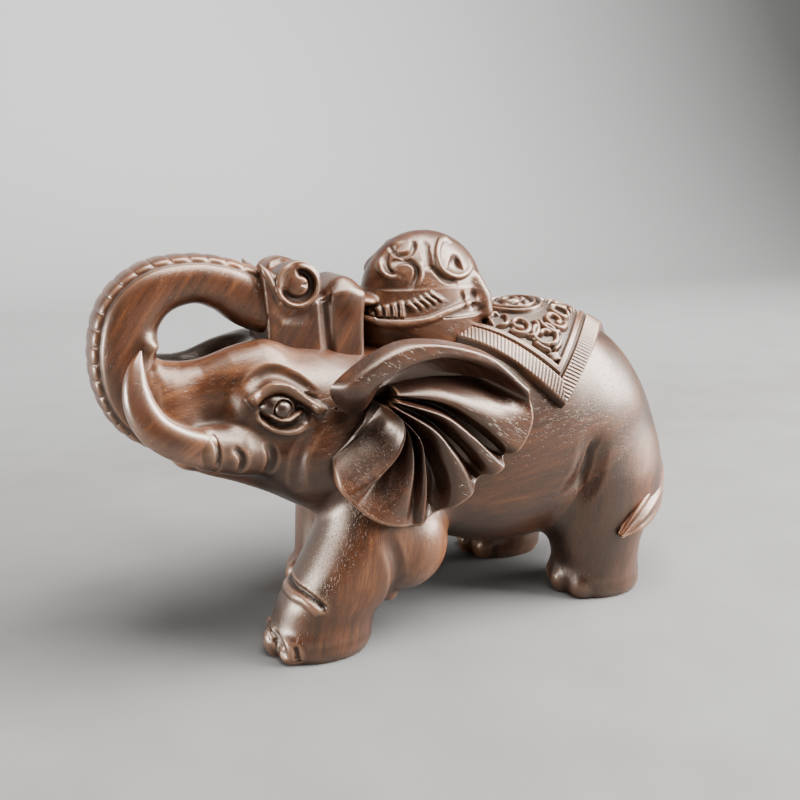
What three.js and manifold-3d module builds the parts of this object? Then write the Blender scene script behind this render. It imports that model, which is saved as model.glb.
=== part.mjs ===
// A carved hardwood elephant with a raised trunk, a cloud scroll on its forehead, and a
// draped cloth and an ingot on its back. It stands on four flat soles.
// Millimetres. The nose points along -X, the elephant's left side is -Y, and +Z is up.
// The origin is on the standing surface, under the middle of the bounding box.
import * as THREE from "three";
import { mergeVertices } from "three/addons/utils/BufferGeometryUtils.js";
import Module from "manifold-3d";

const wasm = await Module();
wasm.setup();

// ---- Driving dimensions ----

// Overall sizes. The stations below are drawn for the figure at the DRAWN sizes, with x
// measured from the DRAWN origin.
const LENGTH = 166.6;
const WIDTH = 66.2;
const HEIGHT = 104;
const DRAWN = { length: 166.6, width: 66.2, height: 104, middle: -3.5 };

const GLUE_GAP = 0.3; // room for glue between two carved blocks
const TRUNK_WIDTH = 17; // across the trunk at its root
const TRUNK_THICKNESS = 16; // from the banded outside to the plain inside
const TUSK_DIAMETER = 9;
const TUSK_SLEEVE_WALL = 1.8; // the lip around a tusk's root
const EAR_THICKNESS = 8; // from the glued back to the tops of the folds
const EAR_FOLD_DEPTH = 1.4;
const EYE_RADIUS = 4;
const EYE_BULGE = 2.4; // how far the eye stands out of its socket
const EYE_SHANK_RADIUS = 2.2;
const EYE_SHANK_LENGTH = 6;
const CLOTH_THICKNESS = 1.8;
const INGOT_LENGTH = 38;
const INGOT_WIDTH = 29;
const INGOT_HEIGHT = 27; // from its seat on the back to the top of its dome
const INGOT_BOWL_HEIGHT = 9;
const SCROLL_WIDTH = 21;
const SCROLL_RADIUS = 6.2;
const SCROLL_FACE = 1.4; // how far the round volutes stand out of the scroll's sides
const ORNAMENT_GAP = 0.5; // between the scroll's lobe and the tip of the ingot's bowl
const TAIL_DIAMETER = 5.6;
const TUFT_WIDTH = 11;
const FOOT_LENGTH = 25;
const FOOT_WIDTH = 23.5;

// ---- Placing and building ----

const X = new THREE.Vector3(1, 0, 0);
const Y = new THREE.Vector3(0, 1, 0);
const Z = new THREE.Vector3(0, 0, 1);

const stretch = new THREE.Vector3(LENGTH / DRAWN.length, WIDTH / DRAWN.width, HEIGHT / DRAWN.height);
const at = (x, y, z) => new THREE.Vector3(x - DRAWN.middle, y, z).multiply(stretch);

// The Catmull-Rom value between rows of numbers, at t from 0 (first row) to 1 (last row).
function between(rows, t) {
  const position = Math.min(Math.max(t, 0), 1) * (rows.length - 1);
  const i = Math.min(Math.floor(position), rows.length - 2);
  const f = position - i;
  const row = (k) => rows[Math.max(0, Math.min(rows.length - 1, k))];
  return rows[0].map((_, c) => {
    const [a, b, d, e] = [row(i - 1)[c], row(i)[c], row(i + 1)[c], row(i + 2)[c]];
    return b + 0.5 * f * (d - a + f * (2 * a - 5 * b + 4 * d - e + f * (3 * (b - d) + e - a)));
  });
}

// Moves each vertex of a geometry to place(unit vertex).
function warp(geometry, place) {
  const position = geometry.getAttribute("position");
  const vertex = new THREE.Vector3();
  for (let i = 0; i < position.count; i++) {
    const moved = place(vertex.fromBufferAttribute(position, i));
    position.setXYZ(i, moved.x, moved.y, moved.z);
  }
  return geometry;
}

// A bar through stations [x, y, z, half size across, half size the other way], its ends flat.
// across is the direction of the first half size, and level, if given, the direction that all
// sections face instead of along the bar. square is 2 for oval sections, and more for boxy ones.
function bar(stations, across, { level, around = 16, along = 16, square = 2, grow = 0 } = {}) {
  const centre = (t) => at(...between(stations, t).slice(0, 3));
  const step = 0.01;
  return warp(new THREE.CylinderGeometry(1, 1, 1, around, along), (v) => {
    const t = 0.5 - v.y;
    const [halfAcross, halfOther] = between(stations, t).slice(3);
    const facing = level ?? centre(t + step).sub(centre(t - step)).normalize();
    const u = across.clone().addScaledVector(facing, -across.dot(facing)).normalize();
    const w = facing.clone().cross(u);
    const radius = Math.hypot(v.x, v.z);
    const norm = Math.abs(v.x / radius) ** square + Math.abs(v.z / radius) ** square;
    const corner = radius > 0 ? norm ** (-1 / square) : 0;
    const end = t < 0.001 ? -grow : t > 0.999 ? grow : 0;
    return centre(t)
      .addScaledVector(u, v.x * corner * (halfAcross + grow))
      .addScaledVector(w, v.z * corner * (halfOther + grow))
      .addScaledVector(facing, end);
  });
}

// A block along X with upright sections [x, centre z, half width, half height].
const upright = (sections, options) =>
  bar(
    sections.map(([x, z, halfWidth, halfHeight]) => {
      return [x, 0, z, halfWidth * stretch.y, halfHeight * stretch.z];
    }),
    Y,
    { level: X, ...options },
  );

// A three.js geometry as a manifold-3d solid.
function solid(geometry) {
  const bare = geometry.clone();
  bare.deleteAttribute("normal");
  bare.deleteAttribute("uv");
  const merged = mergeVertices(bare, 1e-4);
  return new wasm.Manifold(
    new wasm.Mesh({
      numProp: 3,
      vertProperties: merged.getAttribute("position").array,
      triVerts: new Uint32Array(merged.index.array),
    }),
  );
}

const join = (...solids) => solids.reduce((whole, next) => whole.add(next));
const cut = (whole, ...tools) => tools.reduce((left, tool) => left.subtract(tool), whole);
const mirrored = (geometry) => {
  const flipped = geometry.clone().scale(1, -1, 1);
  const index = flipped.index.array;
  for (let i = 0; i < index.length; i += 3) {
    [index[i + 1], index[i + 2]] = [index[i + 2], index[i + 1]];
  }
  return flipped;
};

// ---- Torso: barrel, back and rump, with pockets for the head and the legs ----

const torsoSections = [
  [-34, 46, 8, 10],
  [-29, 47, 17, 20],
  [-18, 48, 23, 27],
  [0, 48, 26.5, 29],
  [18, 47.5, 29, 33.5],
  [35, 48.5, 29, 34],
  [49, 47.5, 27.5, 31],
  [60, 44, 24, 27],
  [68, 39.5, 18.5, 21],
  [74, 36.5, 12, 13.5],
  [77, 35, 4, 5],
];
const torsoBlock = (grow) => solid(upright(torsoSections, { grow, around: 26, along: 22, square: 2.15 }));

// ---- Legs: each from its sole up to the shoulder or the hip, with level sections ----

const [footX, footY] = [FOOT_LENGTH / 2, FOOT_WIDTH / 2];
const legStations = {
  front_left_leg: [
    [-37, -18, 0, footX, footY - 0.7],
    [-36, -18, 5, footX + 1.3, footY],
    [-34, -18, 9, footX + 2.2, footY - 0.5],
    [-28.8, -18.5, 14, footX + 6.4, footY + 0.5],
    [-23, -19, 21, footX + 7.5, footY + 1],
    [-19.5, -18.5, 31, footX + 5, footY + 1],
    [-16.5, -17, 45, footX, footY - 1],
    [-15, -15, 57, footX - 6, footY - 6],
  ],
  front_right_leg: [
    [-20, 18, 0, footX, footY - 0.7],
    [-19.5, 18, 5, footX + 0.8, footY],
    [-18.5, 18, 9, footX + 0.5, footY - 0.5],
    [-16, 18.5, 14, footX + 2.5, footY + 0.5],
    [-14, 19, 21, footX + 4, footY + 1],
    [-14.5, 18.5, 31, footX + 3, footY + 1],
    [-15, 17, 45, footX, footY - 1],
    [-15, 15, 57, footX - 6, footY - 6],
  ],
  hind_left_leg: [
    [49.5, -18, 0, footX, footY - 0.7],
    [49, -18, 5, footX + 0.6, footY],
    [49, -18, 9, footX + 0.2, footY - 0.3],
    [48.5, -18, 16, footX + 1.5, footY],
    [49.5, -18, 26, footX + 5.5, footY + 0.5],
    [50.5, -17, 37, footX + 6, footY + 0.5],
    [52, -15, 48, footX + 2, footY - 2],
    [53, -13, 57, footX - 6, footY - 7],
  ],
  hind_right_leg: [
    [38, 18, 0, footX, footY - 0.7],
    [38, 18, 5, footX + 0.6, footY],
    [39, 18, 9, footX + 0.2, footY - 0.3],
    [41.5, 18, 16, footX + 1.5, footY],
    [46, 18, 26, footX + 5.5, footY + 0.5],
    [50, 17, 37, footX + 6, footY + 0.5],
    [52, 15, 48, footX + 2, footY - 2],
    [53, 13, 57, footX - 6, footY - 7],
  ],
};
const legBlock = (name, grow) =>
  solid(bar(legStations[name], X, { level: Z, grow, around: 18, along: 14, square: 2.2 }));

// ---- Tusks: each a tapered horn whose root sits in a socket in the head ----

const tuskRadius = TUSK_DIAMETER / 2;
const tuskStations = [
  [-49, -14, 53],
  [-56, -15.8, 54],
  [-63, -16.8, 55.5],
  [-69.5, -16.8, 57.8],
  [-74.8, -16, 61.2],
  [-78, -14.8, 65.8],
  [-79.2, -13.8, 71],
  [-78.9, -13, 75.8],
  [-77.6, -12.4, 80],
].map(([x, y, z], i) => {
  const radius = tuskRadius * [1, 1, 1, 0.98, 0.95, 0.9, 0.76, 0.5, 0.12][i];
  return [x, y, z, radius, radius];
});
const tuskHorn = (grow) => bar(tuskStations, Y, { grow, around: 14, along: 18 });
const sleeve = () => {
  const wall = TUSK_SLEEVE_WALL;
  const stations = tuskStations.slice(0, 3).map(([x, y, z, r]) => [x, y, z, r + wall, r + wall]);
  return bar(stations, Y, { around: 14, along: 4 });
};

// ---- Head: snout to neck, with the lip sleeves that the tusks come out of ----

const headSections = [
  [-73, 64.5, 6, 9],
  [-70, 62, 10, 12.5],
  [-63, 60.7, 12.5, 15.2],
  [-55, 60.2, 15, 17.8],
  [-47, 58.5, 19, 19.5],
  [-38, 55.5, 22.5, 21.5],
  [-29, 53, 24, 22.5],
  [-20, 55, 22.5, 17.5],
  [-14, 57, 18, 12],
];
const headBlock = (grow) => {
  const skull = solid(upright(headSections, { grow, around: 24, along: 16, square: 2.8 }));
  return join(skull, solid(sleeve()), solid(mirrored(sleeve())));
};

// ---- Trunk: up from the snout, round its loop and back on to the forehead ----

const [trunkHalf, trunkThick] = [TRUNK_WIDTH / 2, TRUNK_THICKNESS / 2];
const trunkStations = [
  [-62, 0, 58, trunkHalf, trunkThick - 1],
  [-69.5, 0, 59.5, trunkHalf, trunkThick - 0.6],
  [-75.8, 0, 63.8, trunkHalf, trunkThick - 0.6],
  [-78.6, 0, 70.5, trunkHalf, trunkThick - 0.2],
  [-78.9, 0, 79, trunkHalf, trunkThick - 0.3],
  [-76.6, 0, 86.6, trunkHalf, trunkThick - 0.7],
  [-70.6, 0, 92, trunkHalf - 0.4, trunkThick - 1.5],
  [-62, 0, 93.7, trunkHalf - 0.8, trunkThick - 2.2],
  [-54.5, 0, 92, trunkHalf - 0.8, trunkThick - 1.6],
  [-47.5, 0, 88.2, trunkHalf - 0.4, trunkThick - 0.6],
  [-40, 0, 85.5, trunkHalf - 0.4, trunkThick - 0.6],
];
const trunkBar = (grow) => solid(bar(trunkStations, Y, { grow, around: 16, along: 32, square: 2.8 }));

// ---- Ears: fans of folds, rooted behind the eye and glued to the head and the shoulder ----

const earRoot = [-27, 62];
const earMiddle = 27; // from the centre plane to the middle of an ear's thickness
const EAR_FOLDS = 7;
const earOutline = new THREE.CatmullRomCurve3(
  [
    [-35.5, 70],
    [-32, 75],
    [-24, 79],
    [-12, 80],
    [0, 76],
    [11, 68.5],
    [16.5, 59.5],
    [12.5, 51],
    [4, 43.5],
    [-5, 39],
    [-15, 35.5],
    [-25, 37],
    [-33, 45],
    [-36, 54],
    [-34, 62],
  ].map(([x, z]) => new THREE.Vector3(x, 0, z)),
  true,
);

// A ball spread to the outline: its outer half is the folded face, and its inner half the back.
const earFan = () =>
  warp(new THREE.SphereGeometry(1, 42, 10), (v) => {
    const reach = Math.hypot(v.x, v.z);
    const angle = Math.atan2(v.z, v.x);
    const edge = earOutline.getPoint((angle / (2 * Math.PI) + 1) % 1);
    const place = at(
      THREE.MathUtils.lerp(earRoot[0], edge.x, reach),
      -earMiddle,
      THREE.MathUtils.lerp(earRoot[1], edge.z, reach),
    );
    const height = Math.sign(v.y) * Math.abs(v.y) ** 0.3;
    const outer = THREE.MathUtils.clamp(3 * v.y, 0, 1);
    const fold = EAR_FOLD_DEPTH * Math.cos(EAR_FOLDS * angle) * reach ** 2 * outer;
    const tilt = 2.2 * reach;
    place.y -= (EAR_THICKNESS / 2) * height + fold + tilt;
    return place;
  });

// ---- Eyes: domed beads on round shanks, pressed into drilled sockets ----

const eyePlace = at(-44.5, -18.8, 63.8);
const EYE_TURN = -0.35; // the eyes look a little forward
const eyeBead = (grow) => {
  const profile = new THREE.Path();
  profile.moveTo(0, -EYE_SHANK_LENGTH - grow);
  profile.lineTo(EYE_SHANK_RADIUS + grow, -EYE_SHANK_LENGTH - grow);
  profile.lineTo(EYE_SHANK_RADIUS + grow, -grow);
  profile.lineTo(EYE_RADIUS + grow, -grow);
  profile.lineTo(EYE_RADIUS + grow, EYE_BULGE / 4);
  profile.quadraticCurveTo(EYE_RADIUS * 0.8, EYE_BULGE + grow, 0, EYE_BULGE + grow);
  return new THREE.LatheGeometry(profile.getPoints(4), 18)
    .rotateX(Math.PI)
    .rotateZ(EYE_TURN)
    .translate(eyePlace.x, eyePlace.y, eyePlace.z);
};

// ---- Ingot: a boat-shaped bowl with raised ends and a dome in it, seated on the back ----

const ingotSeat = at(-1, 0, 0).setZ(HEIGHT - INGOT_HEIGHT);
const ingotBlock = (grow) => {
  const bowl = warp(new THREE.CylinderGeometry(1, 1, 1, 28, 4), (v) => {
    const t = v.y + 0.5;
    const reach = Math.hypot(v.x, v.z);
    const flare = 0.74 + 0.26 * t;
    const raised = 0.4 * INGOT_BOWL_HEIGHT * t * v.x ** 4;
    return new THREE.Vector3(
      ingotSeat.x + v.x * flare * (INGOT_LENGTH / 2 + grow),
      -v.z * flare * (INGOT_WIDTH / 2 + grow),
      ingotSeat.z - 3 + t * (INGOT_BOWL_HEIGHT + grow) + raised * reach,
    );
  });
  const domeHeight = INGOT_HEIGHT * 0.62;
  const dome = new THREE.SphereGeometry(1, 24, 12)
    .scale(INGOT_LENGTH * 0.45 + grow, INGOT_WIDTH * 0.44 + grow, domeHeight + grow)
    .translate(ingotSeat.x + 1, 0, HEIGHT - domeHeight);
  return join(solid(bowl), solid(dome));
};

// ---- Saddle cloth: a square laid cornerwise over the back, one corner down each flank ----

// The cutter is a square spread in x and in the angle around the barrel's middle line.
const cloth = { middle: 27.8, reach: 36, around: 1.22 };
const clothPrism = () => {
  const axis = at(cloth.middle, 0, 48);
  return solid(
    warp(new THREE.BoxGeometry(1, 1, 1, 14, 14, 1), (v) => {
      const angle = cloth.around * (v.y - v.x);
      const radius = HEIGHT * (v.z > 0 ? 0.42 : 0.14);
      return new THREE.Vector3(
        axis.x + cloth.reach * stretch.x * (v.x + v.y),
        radius * Math.sin(angle),
        axis.z + radius * Math.cos(angle),
      );
    }),
  );
};

// ---- Scroll: a block with a round volute on each side and a lobe behind, on the forehead ----

const scrollBlock = (grow) => {
  const ingotTip = ingotSeat.x - INGOT_LENGTH / 2;
  const back = (ingotTip - ORNAMENT_GAP) / stretch.x + DRAWN.middle;
  const outline = new THREE.Shape();
  const to = (draw, ...points) => {
    outline[draw](...points.flatMap(([x, z]) => [at(x, 0, 0).x, at(0, 0, z).z]));
  };
  to("moveTo", [-46.5, 77]);
  to("lineTo", [back, 74]);
  to("lineTo", [back, 91]);
  to("quadraticCurveTo", [back - 0.5, 94.5], [back - 4, 94.5]);
  to("lineTo", [-29, 91.5]);
  to("lineTo", [-42, 92]);
  to("lineTo", [-46, 97.5]);
  outline.closePath();
  const depth = SCROLL_WIDTH - 2 * SCROLL_FACE;
  const block = new THREE.ExtrudeGeometry(outline, { depth, bevelEnabled: false, curveSegments: 5 })
    .rotateX(Math.PI / 2)
    .translate(0, depth / 2, 0);
  const middle = at(-37, 0, 91.2);
  const radius = SCROLL_RADIUS + grow;
  const volute = new THREE.CylinderGeometry(radius, radius, SCROLL_WIDTH, 24)
    .translate(middle.x, 0, middle.z);
  return join(solid(block), solid(volute));
};

// ---- Tail: down the rump and round to the left, its tuft against the hind leg ----

const [tailHalf, tuftHalf] = [TAIL_DIAMETER / 2, TUFT_WIDTH / 2];
const tailStations = [
  [69, 0, 57, tailHalf, tailHalf],
  [75, -1, 47, tailHalf, tailHalf],
  [77, -4.5, 38.5, tailHalf, tailHalf],
  [74.5, -11, 32.5, tailHalf + 0.6, tailHalf],
  [69, -18.5, 29, tuftHalf - 0.6, tailHalf],
  [62, -25.3, 26.5, tuftHalf, tailHalf],
  [54.5, -29.5, 23.5, tuftHalf - 1.5, tailHalf - 0.5],
  [47.5, -31.3, 20, 0.5, 0.5],
];
const tailBar = () => solid(bar(tailStations, Z, { around: 12, along: 18 }));

// ---- Fitting the blocks to each other ----

const legNames = Object.keys(legStations);
const legTools = legNames.map((name) => legBlock(name, GLUE_GAP));
const tuskTool = solid(tuskHorn(GLUE_GAP));
const tuskToolRight = solid(mirrored(tuskHorn(GLUE_GAP)));
const eyeTools = [solid(eyeBead(GLUE_GAP)), solid(mirrored(eyeBead(GLUE_GAP)))];
const headTool = headBlock(GLUE_GAP);
const trunkTool = trunkBar(GLUE_GAP);
const torsoTool = torsoBlock(GLUE_GAP);
const ingotTool = ingotBlock(GLUE_GAP);

const head = cut(headBlock(0), tuskTool, tuskToolRight, trunkTool, ...eyeTools);
const torso = cut(torsoBlock(0), headTool, ...legTools);
const legs = legNames.map((name) => [name, cut(legBlock(name, 0), headTool)]);
const trunk = cut(trunkBar(0), tuskTool, tuskToolRight);
const ingot = cut(ingotBlock(0), torsoTool, headTool);
const saddleCloth = cut(
  torsoBlock(GLUE_GAP + CLOTH_THICKNESS).intersect(clothPrism()),
  torsoTool,
  ingotTool,
  ...legTools,
);
const scroll = cut(scrollBlock(0), headTool, trunkTool, ingotTool, torsoTool);
const tail = cut(tailBar(), torsoTool, ...legTools);
const earTools = [headTool, torsoTool, ...legTools, ...eyeTools];
const leftEar = cut(solid(earFan()), ...earTools);
const rightEar = cut(solid(mirrored(earFan())), ...earTools);

// ---- The figure ----

const rosewood = { roughness: 0.3, metalness: 0 };
const carved = new THREE.MeshStandardMaterial({ color: 0x4a2517, ...rosewood });
const polished = new THREE.MeshStandardMaterial({ color: 0x56301d, ...rosewood });
const eyeWood = new THREE.MeshStandardMaterial({ color: 0x2e1710, roughness: 0.15, metalness: 0 });

function mesh(name, made, material) {
  const { numProp, numVert, vertProperties, triVerts } = made.getMesh();
  const position = new Float32Array(numVert * 3);
  for (let i = 0; i < numVert; i++) {
    position.set(vertProperties.subarray(i * numProp, i * numProp + 3), i * 3);
  }
  const geometry = new THREE.BufferGeometry()
    .setAttribute("position", new THREE.BufferAttribute(position, 3))
    .setIndex(new THREE.BufferAttribute(triVerts, 1));
  geometry.computeVertexNormals();
  const piece = new THREE.Mesh(geometry, material);
  piece.name = name;
  return piece;
}

const elephant = new THREE.Group();
elephant.add(
  mesh("torso", torso, carved),
  mesh("head", head, carved),
  mesh("trunk", trunk, carved),
  ...legs.map(([name, made]) => mesh(name, made, carved)),
  mesh("left_tusk", solid(tuskHorn(0)), polished),
  mesh("right_tusk", solid(mirrored(tuskHorn(0))), polished),
  mesh("left_ear", leftEar, carved),
  mesh("right_ear", rightEar, carved),
  mesh("left_eye", solid(eyeBead(0)), eyeWood),
  mesh("right_eye", solid(mirrored(eyeBead(0))), eyeWood),
  mesh("cloud_scroll", scroll, carved),
  mesh("ingot", ingot, polished),
  mesh("saddle_cloth", saddleCloth, carved),
  mesh("tail", tail, carved),
);

export default elephant;
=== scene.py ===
import math

import bpy
import numpy as np
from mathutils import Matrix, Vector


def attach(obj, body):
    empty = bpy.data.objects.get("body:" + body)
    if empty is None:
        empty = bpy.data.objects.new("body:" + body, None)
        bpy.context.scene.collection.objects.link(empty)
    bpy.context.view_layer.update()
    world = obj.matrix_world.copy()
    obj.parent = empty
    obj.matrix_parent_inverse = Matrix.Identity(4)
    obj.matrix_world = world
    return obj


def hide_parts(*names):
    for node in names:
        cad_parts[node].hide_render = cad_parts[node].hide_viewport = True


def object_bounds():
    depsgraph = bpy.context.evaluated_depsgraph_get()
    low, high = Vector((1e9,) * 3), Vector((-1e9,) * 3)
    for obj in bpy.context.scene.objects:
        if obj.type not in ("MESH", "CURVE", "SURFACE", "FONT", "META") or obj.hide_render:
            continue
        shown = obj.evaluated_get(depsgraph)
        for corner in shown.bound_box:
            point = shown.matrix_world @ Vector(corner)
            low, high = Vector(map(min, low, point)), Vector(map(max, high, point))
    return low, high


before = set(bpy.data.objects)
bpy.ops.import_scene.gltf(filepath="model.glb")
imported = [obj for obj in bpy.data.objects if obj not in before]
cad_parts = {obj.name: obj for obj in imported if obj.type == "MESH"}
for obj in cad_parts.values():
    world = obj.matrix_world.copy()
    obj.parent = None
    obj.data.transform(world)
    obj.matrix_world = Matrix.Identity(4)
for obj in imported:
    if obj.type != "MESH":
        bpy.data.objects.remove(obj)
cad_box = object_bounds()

import openvdb
from mathutils import Vector


# ---- Body ----
# A head, a torso and four legs of rosewood are glued up into one block, which is carved as a single
# form, with every joint blended over, and rubbed down and waxed. Places are in millimetres at the
# size the figure is drawn at, and metres() fits them to the frame.
FIGURE = np.array([166.6, 66.2, 104.0])
FIGURE_MIDDLE = np.array([-3.5, 0.0, 0.0])
FRAME_SIZE = np.array(cad_box[1]) - np.array(cad_box[0])


def metres(places):
    return (np.asarray(places, float) - FIGURE_MIDDLE) * FRAME_SIZE / FIGURE


def through(places, values):
    """A smooth function of place that takes these values at these places."""
    places, values = np.array(places, float), np.array(values, float)
    slopes = np.gradient(values, places)

    def value(at):
        i = np.clip(np.searchsorted(places, at) - 1, 0, len(places) - 2)
        span = places[i + 1] - places[i]
        t = np.clip((at - places[i]) / span, 0, 1)
        rise = values[i + 1] - values[i]
        bend = (slopes[i] * span - rise) * (1 - t) + (rise - slopes[i + 1] * span) * t
        return values[i] + t * rise + t * (1 - t) * bend

    return value


def smooth_path(points, count):
    """The points joined by a Catmull-Rom curve, as that many rows."""
    points = np.array(points, float)
    rows = np.vstack([2 * points[0] - points[1], points, 2 * points[-1] - points[-2]])
    t = np.linspace(0, len(points) - 1, count)
    i = np.minimum(t.astype(int), len(points) - 2)
    f = (t - i)[:, None]
    a, b, c, d = rows[i], rows[i + 1], rows[i + 2], rows[i + 3]
    return b + 0.5 * f * (c - a + f * (2 * a - 5 * b + 4 * c - d + f * (3 * (b - c) + d - a)))


def step_up(value, start, end):
    t = np.clip((value - start) / (end - start), 0, 1)
    return t * t * (3 - 2 * t)


def blend(a, b, width):
    """Two forms joined with a fillet of about this width."""
    near = np.maximum(width - np.abs(a - b), 0) / width
    return np.minimum(a, b) - near * near * width / 4


def carve_off(a, tool, width):
    """The first form with the tool's form cut away, the edge eased by this width."""
    return -blend(-a, tool, width)


def section(u, v, half_u, half_v, power):
    """Distance from a boxy oval, along the line from its middle."""
    reach = np.hypot(u, v)
    share = (np.abs(u / half_u) ** power + np.abs(v / half_v) ** power) ** (1 / power)
    return reach - reach / np.maximum(share, 1e-4)


def barrel(x, y, z, rows, power):
    """A form with upright sections: rows are (x, centre z, half width, half height)."""
    xs, centre, width, height = np.array(rows, float).T
    u, v = y, z - through(xs, centre)(x)
    form = section(u, v, through(xs, width)(x), through(xs, height)(x), power)
    return np.maximum(form, np.maximum(xs[0] - x, x - xs[-1]))


def pillar(x, y, z, rows, power):
    """A form with level sections: rows are (z, centre x, centre y, half length, half width)."""
    zs, cx, cy, length, width = np.array(rows, float).T
    u, v = x - through(zs, cx)(z), y - through(zs, cy)(z)
    form = section(u, v, through(zs, length)(z), through(zs, width)(z), power)
    return np.maximum(form, np.maximum(zs[0] - z, z - zs[-1]))


def ball(x, y, z, centre, radii):
    """An egg-shaped form."""
    u, v, w = ((p - c) / r for p, c, r in zip((x, y, z), centre, radii))
    near = np.sqrt(u * u + v * v + w * w) + 1e-6
    far = np.sqrt((u / radii[0]) ** 2 + (v / radii[1]) ** 2 + (w / radii[2]) ** 2) + 1e-6
    return near * (near - 1) / far


def rod(x, y, z, rows):
    """A bent rod with round ends: rows are (x, y, z, radius)."""
    form = None
    for (x0, y0, z0, r0), (x1, y1, z1, r1) in zip(rows[:-1], rows[1:]):
        dx, dy, dz = x1 - x0, y1 - y0, z1 - z0
        t = ((x - x0) * dx + (y - y0) * dy + (z - z0) * dz) / (dx * dx + dy * dy + dz * dz)
        t = np.clip(t, 0, 1)
        gap = np.sqrt((x - x0 - t * dx) ** 2 + (y - y0 - t * dy) ** 2 + (z - z0 - t * dz) ** 2)
        part = gap - r0 - t * (r1 - r0)
        form = part if form is None else np.minimum(form, part)
    return form


TORSO = [
    (-36, 47, 6, 8), (-31, 47, 15, 17), (-24, 47.5, 20, 24), (-12, 48, 24.5, 28), (0, 48, 26.8, 29),
    (18, 47.5, 29, 33.5), (35, 48.5, 29.3, 34), (49, 47.5, 27.8, 31), (60, 44, 24, 27),
    (68, 39.5, 18.8, 21), (73.5, 36.8, 12.5, 14), (76.4, 36, 7, 7.6),
]
LEGS = {
    "front_left_leg": [
        (0, -37.2, -18, 12, 10.6), (1.5, -37.2, -18, 12.9, 11.4), (5, -37, -18, 13.4, 11.8),
        (9, -35.8, -18, 13.2, 11.5), (14, -33, -18.5, 14.2, 12), (21, -28.5, -19, 14.6, 12.6),
        (31, -23.5, -18.5, 14, 12.8), (45, -18.5, -17, 12.5, 10.5), (57, -15, -15, 6.5, 5.5),
    ],
    "front_right_leg": [
        (0, -20, 18, 11.8, 10.4), (1.5, -20, 18, 12.7, 11.2), (5, -19.5, 18, 13.3, 11.7),
        (9, -18.5, 18, 13, 11.2), (14, -16, 18.5, 15, 12.2), (21, -14, 19, 16.5, 12.8),
        (31, -14.5, 18.5, 15.5, 12.8), (45, -15, 17, 12.5, 10.5), (57, -15, 15, 6.5, 5.5),
    ],
    "hind_left_leg": [
        (0, 49.5, -18, 11.8, 10.4), (1.5, 49.5, -18, 12.6, 11.2), (5, 49, -18, 13, 11.7),
        (9, 49, -18, 12.6, 11.4), (16, 48.5, -18, 14, 11.8), (26, 49.5, -18, 18, 12.4),
        (37, 50.5, -17, 18.8, 12.3), (48, 52, -15, 14.5, 9.7), (57, 53, -13, 6.5, 4.7),
    ],
    "hind_right_leg": [
        (0, 38, 18, 11.8, 10.4), (1.5, 38, 18, 12.6, 11.2), (5, 38, 18, 13, 11.7),
        (9, 39, 18, 12.6, 11.4), (16, 41.5, 18, 14, 11.8), (26, 46, 18, 18, 12.4),
        (37, 50, 17, 18.8, 12.3), (48, 52, 15, 14.5, 9.7), (57, 53, 13, 6.5, 4.7),
    ],
}
HEAD = [
    (-74.6, 66, 2, 3), (-73.6, 65.4, 5.5, 8), (-70, 62.3, 9.8, 12.5), (-63, 60.7, 12, 15.2),
    (-55, 60.2, 14.6, 17.8), (-47, 58.5, 18.6, 19.6), (-38, 55.5, 22, 21.6), (-29, 53, 23.6, 22.6),
    (-20, 55, 22.5, 17.5), (-12, 57, 18, 10),
]
LIP_SLEEVE = [(-44, 12.5, 52, 5.6), (-50, 14.2, 53, 6.2), (-56, 15.8, 54, 6.1), (-63.4, 16.7, 55.7, 5.3)]
SNOUT_RIDGE = [
    (-47, 9.5, 74, 4.6),
    (-54, 8.8, 72, 4.4),
    (-61, 8, 69, 4.2),
    (-68, 7, 67.8, 4.2),
    (-73, 5.5, 70.5, 4.2),
]
TOES, TOE_ANGLE = 3, 38
ROUND, BOXY_LEG, BOXY_HEAD = 2.15, 2.25, 2.7  # powers of the sections: 2 is an oval, and more is boxier


def leg_form(x, y, z, rows):
    leg = pillar(x, y, z, rows, BOXY_LEG)
    foot_x, foot_y, length, width = rows[1][1:]
    for toe in range(TOES):
        turn = math.radians(180 + TOE_ANGLE * (toe - 1))
        place = (foot_x + (length - 2.4) * math.cos(turn), foot_y + (width - 2.2) * math.sin(turn), 3.4)
        leg = blend(leg, ball(x, y, z, place, (4.6, 4.2, 4.6)), 0.8)
    return np.maximum(leg, -z)


def elbow_form(x, y, z):
    elbow = ball(x, y, z, (-14.5, -18.5, 25.5), (12.5, 12.3, 13.5))
    return blend(elbow, ball(x, y, z, (-19.3, -20.5, 12.2), (2.6, 3.4, 2.4)), 2)


def legs_form(x, y, z):
    form = elbow_form(x, y, z)
    form = blend(form, leg_form(x, y, z, LEGS["front_left_leg"]), 2.6)
    for name in list(LEGS)[1:]:
        form = np.minimum(form, leg_form(x, y, z, LEGS[name]))
    return form


def head_form(x, y, z):
    side = np.abs(y)
    form = barrel(x, y, z, HEAD, BOXY_HEAD)
    form = blend(form, rod(x, side, z, LIP_SLEEVE), 3.5)
    form = blend(form, ball(x, side, z, (-36, 16, 50), (11, 8.5, 11)), 5)
    form = blend(form, ball(x, side, z, (-45.5, 14.6, 64.5), (11, 6.2, 8.2)), 5)
    form = blend(form, rod(x, side, z, SNOUT_RIDGE), 5)
    form = blend(form, ball(x, side, z, (-70, 7.5, 63), (6.5, 6, 7.5)), 4)
    return carve_off(form, ball(x, y, z, (-61.5, 0, 82.5), (14, 6.4, 9.5)), 3)


def trunk_form(x, y, z):
    rump = ball(x, y, z, (57.5, 0, 36), (20.3, 20.5, 22))
    return blend(blend(barrel(x, y, z, TORSO, ROUND), rump, 3), head_form(x, y, z), 6)


def body_form(x, y, z):
    return blend(trunk_form(x, y, z), legs_form(x, y, z), 4)


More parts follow.
